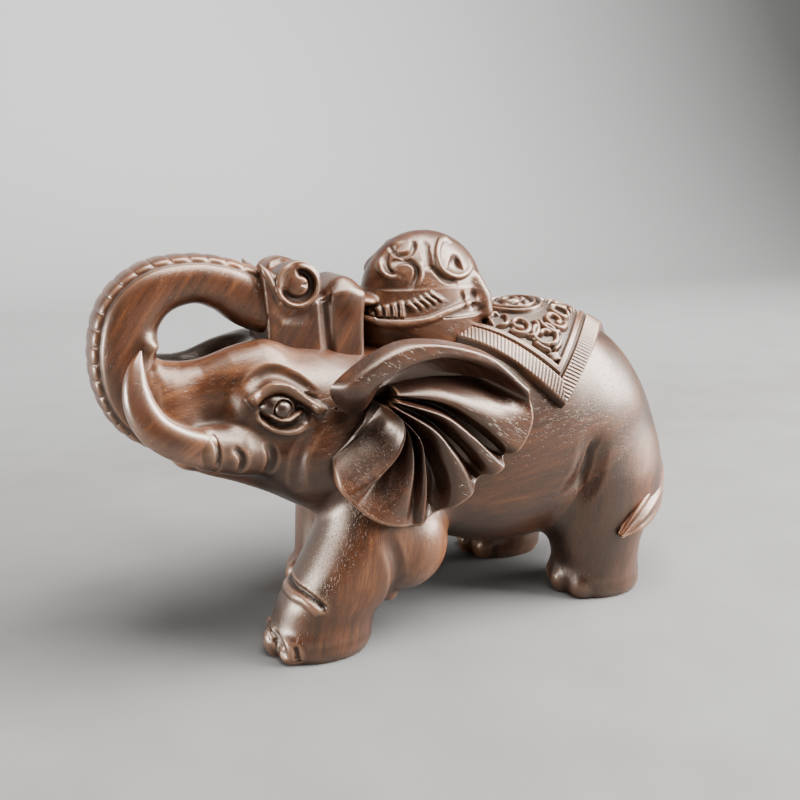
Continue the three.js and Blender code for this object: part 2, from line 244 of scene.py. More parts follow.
def mesh_of_form(form, low, high, step):
    """The surface of a form inside a box, as points and quads, with each point moved on to it."""
    axes = [np.arange(a, b + step, step) for a, b in zip(low, high)]
    x, y, z = np.meshgrid(*axes, indexing="ij", sparse=True)
    values = np.broadcast_to(form(x, y, z), [len(a) for a in axes])
    grid = openvdb.FloatGrid(3 * step)
    grid.copyFromArray(np.ascontiguousarray(np.clip(values, -3 * step, 3 * step), dtype=np.float32))
    points, quads = grid.convertToQuads(0.0)
    points = points.astype(float) * step + np.array([a[0] for a in axes])
    for _ in range(2):
        value = form(*points.T)
        slope = np.stack([form(*(points + h).T) - value for h in 0.05 * np.eye(3)], axis=1) / 0.05
        size = np.maximum((slope * slope).sum(axis=1), 0.2)
        points -= slope * np.clip(value / size, -step, step)[:, None]
    return points, quads


def relief_line(x, z, points, half_width, rise, ends=0.2, crisp=1.0):
    """How far a carved line stands up, or is cut in, at places (x, z) seen from the side."""
    path = smooth_path(points, 6 * len(points))
    reach = half_width + 0.1
    close = (x > path[:, 0].min() - reach) & (x < path[:, 0].max() + reach)
    close &= (z > path[:, 1].min() - reach) & (z < path[:, 1].max() + reach)
    u, v = x[close], z[close]
    nearest, along = np.full(u.shape, 1e9), np.zeros(u.shape)
    for i, (start, end) in enumerate(zip(path[:-1], path[1:])):
        run = end - start
        t = np.clip(((u - start[0]) * run[0] + (v - start[1]) * run[1]) / (run @ run), 0, 1)
        gap = np.hypot(u - start[0] - t * run[0], v - start[1] - t * run[1])
        closer = gap < nearest
        nearest = np.where(closer, gap, nearest)
        along = np.where(closer, (i + t) / (len(path) - 1), along)
    profile = np.clip(1 - (nearest / half_width) ** 2, 0, None) ** crisp
    height = np.zeros(x.shape)
    height[close] = rise * profile * step_up(along, 0, ends) * step_up(1 - along, 0, ends)
    return height


HOLLOW_GAIN = 2.2  # per millimetre below the smoothed surface


def hollows(points, normals, faces, passes=10):
    """Whether each point lies in a hollow (towards 1) or on a ridge (towards 0)."""
    a, b = faces.ravel(), np.roll(faces, -1, axis=1).ravel()
    share = np.maximum(np.bincount(a, minlength=len(points)), 1)
    soft = points.copy()
    for _ in range(passes):
        for k in range(3):
            soft[:, k] = 0.5 * soft[:, k] + 0.5 * np.bincount(a, soft[b, k], len(points)) / share
    return np.clip(0.5 + HOLLOW_GAIN * ((soft - points) * normals).sum(axis=1), 0, 1)


def normals_of(points, quads):
    across, along = points[quads[:, 2]] - points[quads[:, 0]], points[quads[:, 3]] - points[quads[:, 1]]
    facing = np.cross(across, along)
    normals = np.zeros_like(points)
    for corner in quads.T:
        for k in range(3):
            normals[:, k] += np.bincount(corner, facing[:, k], len(points))
    return normals / np.maximum(np.linalg.norm(normals, axis=1, keepdims=True), 1e-12)


def solid(name, points, *faces, normals=None, hollow=None, deep=0):
    """A closed mesh object from points in drawn millimetres and arrays of faces."""
    if normals is None:
        normals = normals_of(points, faces[0])
        hollow = np.maximum(hollows(points, normals, faces[0]), deep)
    mesh = bpy.data.meshes.new(name)
    mesh.vertices.add(len(points))
    mesh.vertices.foreach_set("co", metres(points).astype(np.float32).ravel())
    corners = np.concatenate([np.asarray(part, np.int32).ravel() for part in faces])
    sizes = np.concatenate([np.full(len(part), np.shape(part)[1], np.int32) for part in faces])
    mesh.loops.add(len(corners))
    mesh.loops.foreach_set("vertex_index", corners)
    mesh.polygons.add(len(sizes))
    mesh.polygons.foreach_set("loop_start", np.concatenate([[0], np.cumsum(sizes)[:-1]]).astype(np.int32))
    mesh.update(calc_edges=True)
    mesh.shade_smooth()
    mesh.normals_split_custom_set_from_vertices(normals)
    note = mesh.attributes.new("hollow", "FLOAT", "POINT")
    note.data.foreach_set("value", hollow.astype(np.float32))
    piece = bpy.data.objects.new(name, mesh)
    bpy.context.collection.objects.link(piece)
    return piece


def socket(tree, name, kind, default=None, way="INPUT"):
    made = tree.interface.new_socket(name, in_out=way, socket_type="NodeSocket" + kind)
    if default is not None:
        made.default_value = default


def wire(tree, kind, inputs=(), **settings):
    """A node with its settings, and each input given as a value or another node's output."""
    node = tree.nodes.new("ShaderNode" + kind)
    for key, value in settings.items():
        setattr(node, key, value)
    for key, value in dict(inputs).items():
        if isinstance(value, bpy.types.NodeSocket):
            tree.links.new(value, node.inputs[key])
        else:
            node.inputs[key].default_value = value
    return node


def ramp(tree, fac, stops):
    """A colour ramp: stops are (place, colour), each colour three numbers."""
    node = wire(tree, "ValToRGB", {0: fac})
    band = node.color_ramp
    while len(band.elements) < len(stops):
        band.elements.new(0.5)
    for element, (place, colour) in zip(band.elements, stops):
        element.position = place
        element.color = (*colour, 1)
    return node.outputs[0]


def math_node(tree, operation, a, b=0.0, c=0.0, clamp=False):
    return wire(tree, "Math", {0: a, 1: b, 2: c}, operation=operation, use_clamp=clamp).outputs[0]


def mix_colour(tree, factor, a, b, kind="MIX"):
    a, b = (colour if isinstance(colour, bpy.types.NodeSocket) else (*colour, 1) for colour in (a, b))
    return wire(tree, "Mix", {0: factor, 6: a, 7: b}, data_type="RGBA", blend_type=kind).outputs[2]


# Rosewood: dark brown bands with orange-brown streaks between them, fine fibre and short dark pores,
# all drawn out along the first axis of the coordinates given, which are in metres.
rosewood = bpy.data.node_groups.new("rosewood", "ShaderNodeTree")
socket(rosewood, "Vector", "Vector")
socket(rosewood, "Warmth", "Float", 0.5)
socket(rosewood, "Color", "Color", way="OUTPUT")
socket(rosewood, "Pores", "Float", way="OUTPUT")
socket(rosewood, "Fibre", "Float", way="OUTPUT")
given = rosewood.nodes.new("NodeGroupInput").outputs
grain = {}
for feature, stretch, detail in (
    ("band", (14, 95, 95), 4), ("patch", (9, 26, 26), 2), ("fibre", (160, 2600, 2600), 4),
    ("pore", (420, 3400, 3400), 2), ("streak", (45, 620, 620), 5),
):
    place = wire(rosewood, "Mapping", {"Vector": given["Vector"], "Scale": stretch}).outputs[0]
    noise = {"Vector": place, "Scale": 1.0, "Detail": detail, "Roughness": 0.6, "Distortion": 0.3}
    grain[feature] = wire(rosewood, "TexNoise", noise).outputs["Fac"]
warm = math_node(rosewood, "MULTIPLY_ADD", grain["patch"], 1.3, -0.62)
warm = math_node(rosewood, "ADD", warm, given["Warmth"])
figure = math_node(rosewood, "MULTIPLY_ADD", grain["band"], 0.9, -0.45)
figure = math_node(rosewood, "ADD", figure, warm)
streak = math_node(rosewood, "MULTIPLY_ADD", grain["streak"], 0.7, -0.35)
figure = math_node(rosewood, "ADD", figure, streak, clamp=True)
colour = ramp(rosewood, figure, [(0.12, (0.006, 0.0018, 0.0011)), (0.36, (0.02, 0.0056, 0.0025)),
                                 (0.6, (0.062, 0.018, 0.0058)), (0.88, (0.17, 0.06, 0.018))])
pores = ramp(rosewood, grain["pore"], [(0.3, (1, 1, 1)), (0.4, (0, 0, 0))])
fibre = ramp(rosewood, grain["fibre"], [(0.3, (0.72, 0.72, 0.72)), (0.7, (1.18, 1.18, 1.18))])
colour = mix_colour(rosewood, 1.0, colour, fibre, "MULTIPLY")
colour = mix_colour(rosewood, math_node(rosewood, "MULTIPLY", pores, 0.7), colour, (0.006, 0.0025, 0.002))
ends = rosewood.nodes.new("NodeGroupOutput").inputs
rosewood.links.new(colour, ends["Color"])
rosewood.links.new(pores, ends["Pores"])
rosewood.links.new(grain["fibre"], ends["Fibre"])

# Wear and shade: hollows keep dark wax and a little dust, and their dark colour is also painted shade;
# ridges are rubbed bright.
wear_and_shade = bpy.data.node_groups.new("wear_and_shade", "ShaderNodeTree")
socket(wear_and_shade, "Color", "Color")
socket(wear_and_shade, "Hollow", "Float", 0.5)
socket(wear_and_shade, "Dust", "Float", 0.3)
socket(wear_and_shade, "Color", "Color", way="OUTPUT")
socket(wear_and_shade, "Roughness", "Float", way="OUTPUT")
given = wear_and_shade.nodes.new("NodeGroupInput").outputs
place = wire(wear_and_shade, "TexCoord").outputs["Object"]
smears = {"Vector": place, "Scale": 55.0, "Detail": 5.0, "Roughness": 0.6}
smudge = wire(wear_and_shade, "TexNoise", smears).outputs["Fac"]
specks = wire(wear_and_shade, "TexNoise", {"Vector": place, "Scale": 2400.0, "Detail": 2.0}).outputs["Fac"]
deep = ramp(wear_and_shade, given["Hollow"], [(0.52, (0, 0, 0)), (0.8, (1, 1, 1))])
worn = ramp(wear_and_shade, given["Hollow"], [(0.16, (1, 1, 1)), (0.46, (0, 0, 0))])
# The dark colour mixed into the hollows is partly wax and partly painted shade.
DARK_WAX_AND_SHADE, BARE_EDGE, DUST = (0.009, 0.003, 0.002), (0.36, 0.2, 0.12), (0.32, 0.26, 0.22)
darkened = mix_colour(wear_and_shade, math_node(wear_and_shade, "MULTIPLY", deep, 0.85), given["Color"], DARK_WAX_AND_SHADE)
rubbed = mix_colour(wear_and_shade, math_node(wear_and_shade, "MULTIPLY", worn, 0.28), darkened, BARE_EDGE)
specks = ramp(wear_and_shade, specks, [(0.66, (0, 0, 0)), (0.72, (1, 1, 1))])
dusted = mix_colour(wear_and_shade, math_node(wear_and_shade, "MULTIPLY", specks, given["Dust"]), rubbed, DUST)
rough = math_node(wear_and_shade, "MULTIPLY_ADD", smudge, 0.22, 0.24)
rough = math_node(wear_and_shade, "ADD", rough, math_node(wear_and_shade, "MULTIPLY", deep, 0.25), clamp=True)
ends = wear_and_shade.nodes.new("NodeGroupOutput").inputs
wear_and_shade.links.new(dusted, ends["Color"])
wear_and_shade.links.new(rough, ends["Roughness"])


FIBRE_DEPTH = 0.00003  # metres, from the fibres down to the pores


def waxed_wood(name, grain_turn, warmth, coat=0.12):
    """Rosewood with its grain along X turned by grain_turn degrees, under rubbed wax, with painted shade as
    well as dark wax in its hollows.
    """
    material = bpy.data.materials.new(name)
    material.use_nodes = True
    tree = material.node_tree
    shader = tree.nodes["Principled BSDF"]
    coords = wire(tree, "TexCoord").outputs["Object"]
    turn = [math.radians(angle) for angle in grain_turn]
    turned = wire(tree, "Mapping", {"Vector": coords, "Rotation": turn}).outputs[0]
    timber = wire(tree, "Group", {"Vector": turned, "Warmth": warmth}, node_tree=rosewood)
    note = wire(tree, "Attribute", attribute_name="hollow").outputs["Fac"]
    # The hollow mark sets where the wood is darkened: partly dark wax, partly painted shade.
    wood_wear_shade_inputs = {"Color": timber.outputs["Color"], "Hollow": note, "Dust": 0.12}
    worn_and_shaded = wire(tree, "Group", wood_wear_shade_inputs, node_tree=wear_and_shade)
    tree.links.new(worn_and_shaded.outputs["Color"], shader.inputs["Base Color"])
    tree.links.new(worn_and_shaded.outputs["Roughness"], shader.inputs["Roughness"])
    height = math_node(tree, "SUBTRACT", timber.outputs["Fibre"], timber.outputs["Pores"])
    bump = wire(tree, "Bump", {"Height": height, "Distance": FIBRE_DEPTH, "Strength": 1.0})
    tree.links.new(bump.outputs[0], shader.inputs["Normal"])
    wax = {"IOR": 1.5, "Specular IOR Level": 1.0, "Specular Tint": (1.0, 0.78, 0.62, 1),
           "Coat Weight": coat, "Coat Roughness": 0.24}
    for key, value in wax.items():
        shader.inputs[key].default_value = value
    return material


# The carver's finer cuts, seen from the side: (points, half width, rise, eased ends, crispness), for the
# eye's socket, folds and lids, the cheek and the lip, then the thigh and armpit, then the leading foot.
EYE_SOCKET = [(-52.2, 66), (-49, 66), (-45.5, 65.6), (-41.8, 64.8), (-38.2, 63.4)]
HEAD_CUTS = [
    (EYE_SOCKET, 3.7, -1.9, 0.15, 0.8),
    ([(-54.1, 67.4), (-52.6, 69.9), (-50.4, 71.8), (-48, 72.7), (-45.3, 72.4), (-42.2, 70.8),
      (-39.4, 68.2), (-36.6, 65.2)], 1.9, -1.5, 0.3, 1.4),
    ([(-53.8, 65.8), (-52, 67.1), (-50, 68.4), (-47.8, 69.2), (-45.6, 69.1), (-43.2, 68), (-40.7, 66.2),
      (-38.3, 64.3), (-35.6, 62.2)], 1.3, 2.6, 0.12, 0.6),
    ([(-51.4, 65.3), (-50.4, 64.4), (-48.9, 63.3), (-47.4, 62.5), (-45.8, 62.1), (-44.3, 62.2),
      (-42.7, 62.9), (-40.3, 63.8)], 0.7, 1.7, 0.15, 0.7),
    ([(-51.7, 64.2), (-50.3, 62.5), (-48.1, 61), (-45.7, 60.4), (-43.2, 60.6), (-40.6, 61.6)],
      0.95, -1.5, 0.2, 1.1),
    ([(-52.3, 63.4), (-51.4, 62), (-50.2, 60.8), (-48.2, 59.4), (-46, 58.6), (-44, 58.5), (-42, 59),
      (-39.9, 60.2)], 0.9, 0.9, 0.25, 1.0),
    ([(-37.6, 60.6), (-40.6, 57.2), (-43, 52.8), (-43.6, 47.4), (-42.4, 42.6)], 2.2, -0.7, 0.3, 2),
    ([(-58.8, 57), (-56.8, 54.6), (-56.5, 52.2), (-57.7, 49.6)], 1.1, -1.0, 0.3, 1.2),
    ([(-50.6, 57), (-49.1, 53.8), (-49.4, 50.4), (-51, 47.8)], 1.5, -1.0, 0.35, 1.4),
    ([(-63.2, 60.6), (-62.3, 57.5), (-62.2, 54), (-62.8, 50.4)], 0.7, -0.5, 0.1, 1),
]
BODY_CUTS = [
    ([(40.2, 52.5), (39, 46.8), (38.2, 42), (36.8, 37.6), (34.1, 33.1), (31.2, 29)], 6.5, -1.6, 0.35, 2),
    ([(40, 50.4), (38.9, 46), (38, 41.6), (36.4, 37), (33.8, 32.6)], 2.2, -1.3, 0.35, 2),
    ([(-24.4, 34), (-21.6, 26), (-20.4, 18), (-22, 12)], 3.0, -0.9, 0.3, 2),
]
ANKLE_CUTS = [
    ([(-56, 18.4), (-50, 18.6), (-44.4, 18.7), (-42.8, 18.1), (-41.2, 16.8), (-39.2, 14.7)],
      0.9, -1.1, 0.1, 0.9),
    ([(-56, 16.6), (-50, 16.8), (-44.8, 16.9), (-43.4, 16.3), (-42.2, 15.0), (-40.4, 13)],
      1.5, 0.5, 0.15, 1.2),
    ([(-50.2, 7.6), (-49.6, 4.8), (-49.4, 2)], 0.9, -0.9, 0.2, 1.2),
    ([(-46.9, 6), (-46.6, 3.4), (-46.4, 0.8)], 0.9, -0.9, 0.2, 1.2),
]


def cut_detail(points, normals, cuts, facing=None):
    x, y, z = points.T
    if facing is None:
        facing = step_up(np.abs(normals[:, 1]), 0.15, 0.5)
    height = sum(relief_line(x, z, *cut) for cut in cuts)
    return points + normals * (height * facing)[:, None]


# The surface is divided where the head, the torso and the legs are glued together.
NECK_X, NECK_Z, NECK_SLOPE, LEG_TOP = -24, 80, 0.135, 56


def neck(x, y, z):
    return x - NECK_X - (z - NECK_Z) * NECK_SLOPE


def own_ground(name):
    """Below 0 on the part of the surface that this leg has, up to where it runs into the torso."""
    def field(x, y, z):
        leg = leg_form(x, y, z, LEGS[name])
        if name == "front_left_leg":
            leg = np.minimum(leg, elbow_form(x, y, z))
        return leg - trunk_form(x, y, z)
    return field


def settle(points, which, seam, step):
    """Moves the points chosen by which along the body's surface, on to a seam."""
    def gaps(places):
        return np.stack([seam(*places.T), body_form(*places.T)], axis=1)

    for _ in range(4):
        here = points[which]
        now = gaps(here)
        slope = np.stack([gaps(here + h) - now for h in 0.02 * np.eye(3)], axis=2) / 0.02
        square = slope @ np.swapaxes(slope, 1, 2) + 0.02 * np.eye(2)
        move = np.swapaxes(slope, 1, 2) @ np.linalg.solve(square, now[..., None])
        points[which] = here - np.clip(move[..., 0], -0.4 * step, 0.4 * step)


def cut_out(name, points, normals, hollow, quads):
    """A closed piece from part of a surface: a fan of faces closes it behind, over each open edge."""
    a, b = quads.ravel(), np.roll(quads, -1, axis=1).ravel()
    code, twin = a * len(points) + b, b * len(points) + a
    open_edge = ~np.isin(code, twin)
    after = {}
    for first, second in zip(a[open_edge].tolist(), b[open_edge].tolist()):
        after.setdefault(first, []).append(second)
    caps, middles = [], []
    while after:
        path = [next(iter(after))]
        while path:
            last, here = path[-1], after[path[-1]].pop()
            if not after[last]:
                del after[last]
            if here not in path:
                path.append(here)
                continue
            loop, path = path[path.index(here):], path[:path.index(here)]
            centre = len(points) + len(middles)
            middles.append(points[loop].mean(axis=0))
            caps += [(second, first, centre) for first, second in zip(loop, loop[1:] + loop[:1])]
            if here in after:
                path.append(here)
    all_points = np.vstack([points, middles])
    normals = np.vstack([normals, np.tile([0.0, 0.0, 1.0], (len(middles), 1))])
    hollow = np.concatenate([hollow, np.zeros(len(middles))])
    caps = np.array(caps)
    used, place = np.unique(np.concatenate([quads.ravel(), caps.ravel()]), return_inverse=True)
    quads, caps = place[:quads.size].reshape(-1, 4), place[quads.size:].reshape(-1, 3)
    return solid(name, all_points[used], quads, caps, normals=normals[used], hollow=hollow[used])


COARSE = 1.0
BODY_STEP, HEAD_STEP = 0.58 * COARSE, 0.36 * COARSE
body_pieces = {}
for step, low, high, names in (
    (HEAD_STEP, (-77, -26, 28), (-19, 26, 82), ["head"]),
    (BODY_STEP, (-52, -33, -1), (80, 33, 84), ["torso", *LEGS]),
):
    points, quads = mesh_of_form(body_form, low, high, step)
    centres = points[quads].mean(axis=1)
    owner = np.where(neck(*centres.T) < 0, 0, 1)
    seams = [neck]
    for name in LEGS:
        ground = own_ground(name)
        owner[(ground(*centres.T) < 0) & (centres[:, 2] < LEG_TOP)] = len(seams) + 1
        seams.append(ground)
    touched = np.zeros((len(seams) + 1, len(points)), bool)
    for k in range(len(seams) + 1):
        touched[k, quads[owner == k].ravel()] = True
    settle(points, np.flatnonzero(touched[0] & touched[1]), neck, step)
    for k in range(2, len(seams) + 1):
        settle(points, np.flatnonzero(touched[k] & (touched.sum(axis=0) > 1)), seams[k - 1], step)
    normals = normals_of(points, quads)
    points = cut_detail(points, normals, HEAD_CUTS + BODY_CUTS)
    near_foot = (points[:, 1] < -7) & (points[:, 0] < -36) & (points[:, 2] < 30)
    forward = step_up(-normals[:, 1] - normals[:, 0], 0.1, 0.5)
    points = cut_detail(points, normals, ANKLE_CUTS, near_foot * forward)
    normals = normals_of(points, quads)
    hollow = hollows(points, normals, quads, max(3, int(2.4 / step ** 2)))
    for k, name in enumerate(["head", "torso", *LEGS]):
        if name in names:
            body_pieces[name] = cut_out(name, points, normals, hollow, quads[owner == k])
block_wood = waxed_wood("block_rosewood", (0, 12, 0), 0.42)
leg_wood = waxed_wood("leg_rosewood", (0, 82, 0), 0.4)
for name, piece in body_pieces.items():
    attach(piece, "root")
    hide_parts(name)
    piece.data.materials.append(leg_wood if name in LEGS else block_wood)

# ---- Trunk ----
# The raised trunk is sawn to its curve and rounded, with a proud band of scales down its outside
# between two fine grooves. Its root grows out of the snout, and its tip lies on the forehead.
Y_AXIS = np.array([0.0, 1.0, 0.0])
Z_AXIS = np.array([0.0, 0.0, 1.0])


def sweep(rows, across, count, around, power=2.0):
    """Rings along a path of rows (x, y, z, half size across, half size the other way)."""
    path = smooth_path(rows, count)
    centre, half = path[:, None, :3], np.maximum(path[:, None, 3:], 0.01)
    facing = np.gradient(path[:, :3], axis=0)
    facing /= np.linalg.norm(facing, axis=1, keepdims=True)
    side = across - (facing @ across)[:, None] * facing
    side /= np.linalg.norm(side, axis=1, keepdims=True)
    other = np.cross(facing, side)
    turn = np.linspace(0, 2 * math.pi, around, endpoint=False)
    cos, sin = np.cos(turn), np.sin(turn)
    fit = (np.abs(cos) ** power + np.abs(sin) ** power) ** (-1 / power)
    u, v = half[..., 0] * cos * fit, half[..., 1] * sin * fit
    rings = centre + u[..., None] * side[:, None] + v[..., None] * other[:, None]
    out = (cos / half[..., 0])[..., None] * side[:, None] + (sin / half[..., 1])[..., None] * other[:, None]
    return rings, out / np.linalg.norm(out, axis=2, keepdims=True), cos * fit, sin * fit


def tube(name, rings, deep=None):
    """A closed solid from rings of points, with a point in the middle of each end."""
    count, around = rings.shape[:2]
    index = np.arange(count * around).reshape(count, around)
    after = np.roll(index, -1, axis=1)
    walls = np.stack([index[:-1], after[:-1], after[1:], index[1:]], axis=-1).reshape(-1, 4)
    first, last = count * around, count * around + 1
    caps = np.concatenate([
        np.stack([np.full(around, first), after[0], index[0]], axis=-1),
        np.stack([np.full(around, last), index[-1], after[-1]], axis=-1),
    ])
    points = np.vstack([rings.reshape(-1, 3), rings[0].mean(axis=0), rings[-1].mean(axis=0)])
    return solid(name, points, walls, caps, deep=0 if deep is None else np.append(deep.ravel(), (0, 0)))


TRUNK = [
    (-62, 0, 58, 8.3, 7), (-69.5, 0, 59.5, 8.5, 7.4), (-75.8, 0, 63.8, 8.5, 7.4), (-78.6, 0, 70.5, 8.5, 7.7),
    (-78.9, 0, 79, 8.5, 7.6), (-76.6, 0, 86.6, 8.4, 7.2), (-70.6, 0, 92, 8.1, 6.4), (-62, 0, 93.7, 7.7, 5.7),
    (-54.5, 0, 92, 7.7, 6.3), (-47.5, 0, 88.2, 8.1, 7.3), (-40, 0, 85.5, 8.1, 7.3),
]
SCALE_LENGTH = (3.6, 4.8)  # the first scale, by the snout, and the last, on the forehead
KNOB, KNOB_RISE = (-73.8, 79.4), 2.0  # a small knob on each side, inside the bend
rings, out, across_share, out_share = sweep(TRUNK, Y_AXIS, int(620 / COARSE), int(150 / COARSE), 2.7)
spine = np.linalg.norm(np.diff(rings[:, rings.shape[1] // 4], axis=0), axis=1)
length = np.concatenate([[0], np.cumsum(spine)])
pitch = np.interp(length, [0, length[-1]], SCALE_LENGTH)
scales = np.cumsum(np.gradient(length) / pitch)
lobe = np.abs(np.sin(math.pi * scales))[:, None]
outside = (out_share > 0).astype(float)[None, :]
edge = np.abs(across_share)[None, :]
band_edge = 0.6 + 0.08 * lobe ** 0.5
band = outside * (1 - step_up(edge, band_edge - 0.04, band_edge + 0.04))
groove = outside * np.exp(-((edge - 0.76) / 0.04) ** 2)
rise = band * (0.15 + 0.85 * lobe ** 0.35) * 0.55 - 0.5 * groove
from_knob = (rings[..., 0] - KNOB[0]) ** 2 + (rings[..., 2] - KNOB[1]) ** 2
knob = np.exp(-from_knob / 4.2) * step_up(np.abs(out[..., 1]), 0.1, 0.7)
rise = rise + KNOB_RISE * knob
trunk = tube("trunk", rings + out * rise[..., None])
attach(trunk, "root")
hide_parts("trunk")
trunk.data.materials.append(waxed_wood("trunk_rosewood", (0, 55, 0), 0.5))

# ---- Tusks ----
# Each tusk is a slim horn with softened corners, polished brighter than the skin, its root let into
# a sleeve of the lip and its tip resting against the side of the trunk.
TUSK = [
    (-49, -14, 53, 1), (-56, -15.8, 54, 1), (-63, -16.8, 55.5, 1), (-69.5, -16.8, 57.8, 0.98),
    (-74.8, -16, 61.4, 0.93), (-77.6, -14.9, 66, 0.84), (-78.5, -14, 71, 0.66),
    (-77.9, -13.2, 75.6, 0.42), (-76.6, -12.6, 79.4, 0.05),
]
TUSK_RADIUS = 4.5
tusk_wood = waxed_wood("tusk_rosewood", (0, 40, 0), 0.5, coat=0.8)
rows = [(x, y, z, TUSK_RADIUS * share, TUSK_RADIUS * share) for x, y, z, share in TUSK]
horn = sweep(rows, Y_AXIS, int(220 / COARSE), 64, 2.9)[0]
for side, name in ((1, "left_tusk"), (-1, "right_tusk")):
    tusk = tube(name, horn[:, ::side] * (1, side, 1))
    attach(tusk, "root")
    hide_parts(name)
    tusk.data.materials.append(tusk_wood)

# ---- Ears ----
# Each ear is a thick fan let on to the shoulder. Its top edge is rolled over a deep hollow, and below
# that, folds run out like petals from the hub behind the cheek to a lobed edge.
# Each fold line is (x, z, height over the ear's base) from the hub to the edge.
FOLDS = [
    [(-23.6, 64.6, 1.4), (-24.2, 61.4, 1), (-26.6, 58.4, 0.4), (-31.2, 55.4, 0), (-35, 52.6, 0)],
    [(-23.8, 64.9, 3), (-22.4, 61, 2.2), (-24.6, 56.8, 1.8), (-29.8, 53, 2), (-35.4, 49.6, 2.2)],
    [(-24, 65, 4.4), (-20.8, 60.8, 4.6), (-22.2, 55.4, 4.4), (-27.8, 50, 4.2), (-35, 45.6, 4.2)],
    [(-24, 65, 5), (-20, 60.4, 6.6), (-20.9, 54.4, 7), (-26, 48.8, 6.6), (-33, 42.9, 5)],
    [(-24, 64.8, 3.4), (-19.2, 59.7, 3), (-19.9, 53.4, 2), (-24.3, 47, 1.2), (-31, 40.8, 3.2)],
    [(-23.8, 64.6, 2.4), (-18.8, 59.2, 1), (-19.4, 52.4, 0.8), (-22.6, 45, 3.2), (-28, 37.9, 4.4)],
    [(-23.6, 64.5, 3.4), (-18.2, 58.2, 3), (-18.2, 50.6, 4.4), (-20.4, 42.8, 5.8), (-24.4, 35.8, 5.6)],
    [(-23.4, 64.4, 3.6), (-17.4, 57.4, 3.4), (-16.8, 49.6, 5), (-18.2, 42, 5.8), (-20.4, 34.6, 5.6)],
    [(-23.2, 64.3, 2.8), (-16.8, 57, 1.4), (-15.8, 49, 1.6), (-16.3, 41.6, 3), (-17.2, 34.1, 4.4)],
    [(-23, 64.3, 4.6), (-15.8, 56.6, 5.8), (-14.2, 48.8, 6.2), (-14, 41.4, 6), (-14.7, 34, 5.4)],
    [(-22.6, 64.3, 2.6), (-15.1, 56.4, 1.4), (-12.9, 48.6, 0.4), (-11.8, 41.6, 1.2), (-11.8, 34.8, 3)],
    [(-22.4, 64.4, 2.2), (-14.4, 56.6, 0.6), (-11, 49, 0), (-8.6, 42.4, 1), (-8.4, 36.2, 3)],
    [(-22.2, 64.6, 3.8), (-13.4, 57.4, 3.6), (-9, 50.2, 5), (-6.4, 44, 6), (-5.4, 37.6, 5.8)],
    [(-22, 64.8, 4.8), (-12.2, 58.2, 6.4), (-6.9, 51.6, 7.2), (-3.4, 45.6, 7.4), (-1.4, 40, 6.6)],
    [(-21.8, 65.1, 2.6), (-11.4, 58.8, 2), (-5.4, 52.6, 1.6), (-1.4, 47.2, 2), (1, 42.2, 3.6)],
    [(-21.6, 65.3, 1.8), (-10.8, 59.4, 0.2), (-4.4, 53.6, 0), (0.2, 48.4, 1), (3.2, 43.8, 3.4)],
    [(-21.3, 65.6, 3.6), (-10.2, 60.4, 4), (-2.9, 54, 5.6), (2, 48.8, 6.8), (5.6, 44.6, 6.4)],
    [(-21.1, 65.9, 4.8), (-9.4, 61.4, 6.8), (-1.6, 55.2, 7.5), (3.7, 50, 7.6), (7.8, 46, 6.8)],
    [(-20.9, 66.3, 2), (-8.8, 62.2, 0.8), (-0.6, 56.2, 0.6), (4.9, 51.1, 1.2), (9.2, 47.4, 3.4)],
    [(-20.8, 66.5, 1.4), (-8.4, 62.8, 0), (0.3, 57, -0.4), (5.9, 52, 0.4), (10.2, 48.4, 3)],
    [(-20.7, 66.9, 2.6), (-8.2, 63.8, 3.6), (1.2, 58, 5.8), (7.2, 53.2, 6.8), (11.8, 49.8, 6.6)],
    [(-20.6, 67.2, 3), (-8.6, 64.9, 4.6), (1.6, 59.6, 7), (8.4, 54.8, 7.6), (13.4, 51.8, 7.4)],
    [(-20.6, 67.8, 2.4), (-9.4, 67, 3.4), (1.4, 62.2, 5.8), (9.2, 57.6, 7), (15, 54.6, 7.4)],
    [(-21, 68.6, 1), (-11, 69.4, 1), (0.4, 65.6, 3), (8.8, 61, 5.2), (15.9, 57.6, 7)],
    [(-22.4, 68.4, -0.4), (-13.6, 72.4, -1.4), (-2, 70.2, -0.8), (7.8, 65, 1.8), (16, 60.4, 6)],
    [(-24, 66.8, -0.8), (-17.4, 73.6, -1.4), (-5.2, 73.6, -1), (6.4, 68.6, 1.4), (15.6, 62.4, 5.4)],
    [(-26, 64.8, 0.2), (-23.4, 71.6, 3.8), (-10, 75.6, 5), (4, 71.8, 5), (15.1, 63.8, 6)],
    [(-28, 63, 0.4), (-27.4, 71, 7), (-13, 77.2, 7.6), (2.8, 73.6, 7.4), (14.8, 64.8, 6.6)],
    [(-31, 62.6, 0.2), (-32, 71.6, 6.6), (-16.6, 79, 7), (2, 75.4, 6.8), (14.8, 65.8, 5.8)],
    [(-33.8, 63.8, -0.4), (-36, 71.4, 2), (-19.4, 80.2, 2.4), (1.6, 76.6, 2.6), (15, 66.4, 2.4)],
]
EAR_BASE, EAR_BACK, EAR_RISE = 25.4, 22.6, 7.7  # out from the middle to the folds' base and the back
LIP = [(0, 0), (0.35, 0.25), (0.55, 0.9), (0.5, 2.2), (0.1, 4.4)]  # (out past the edge, down) round the edge


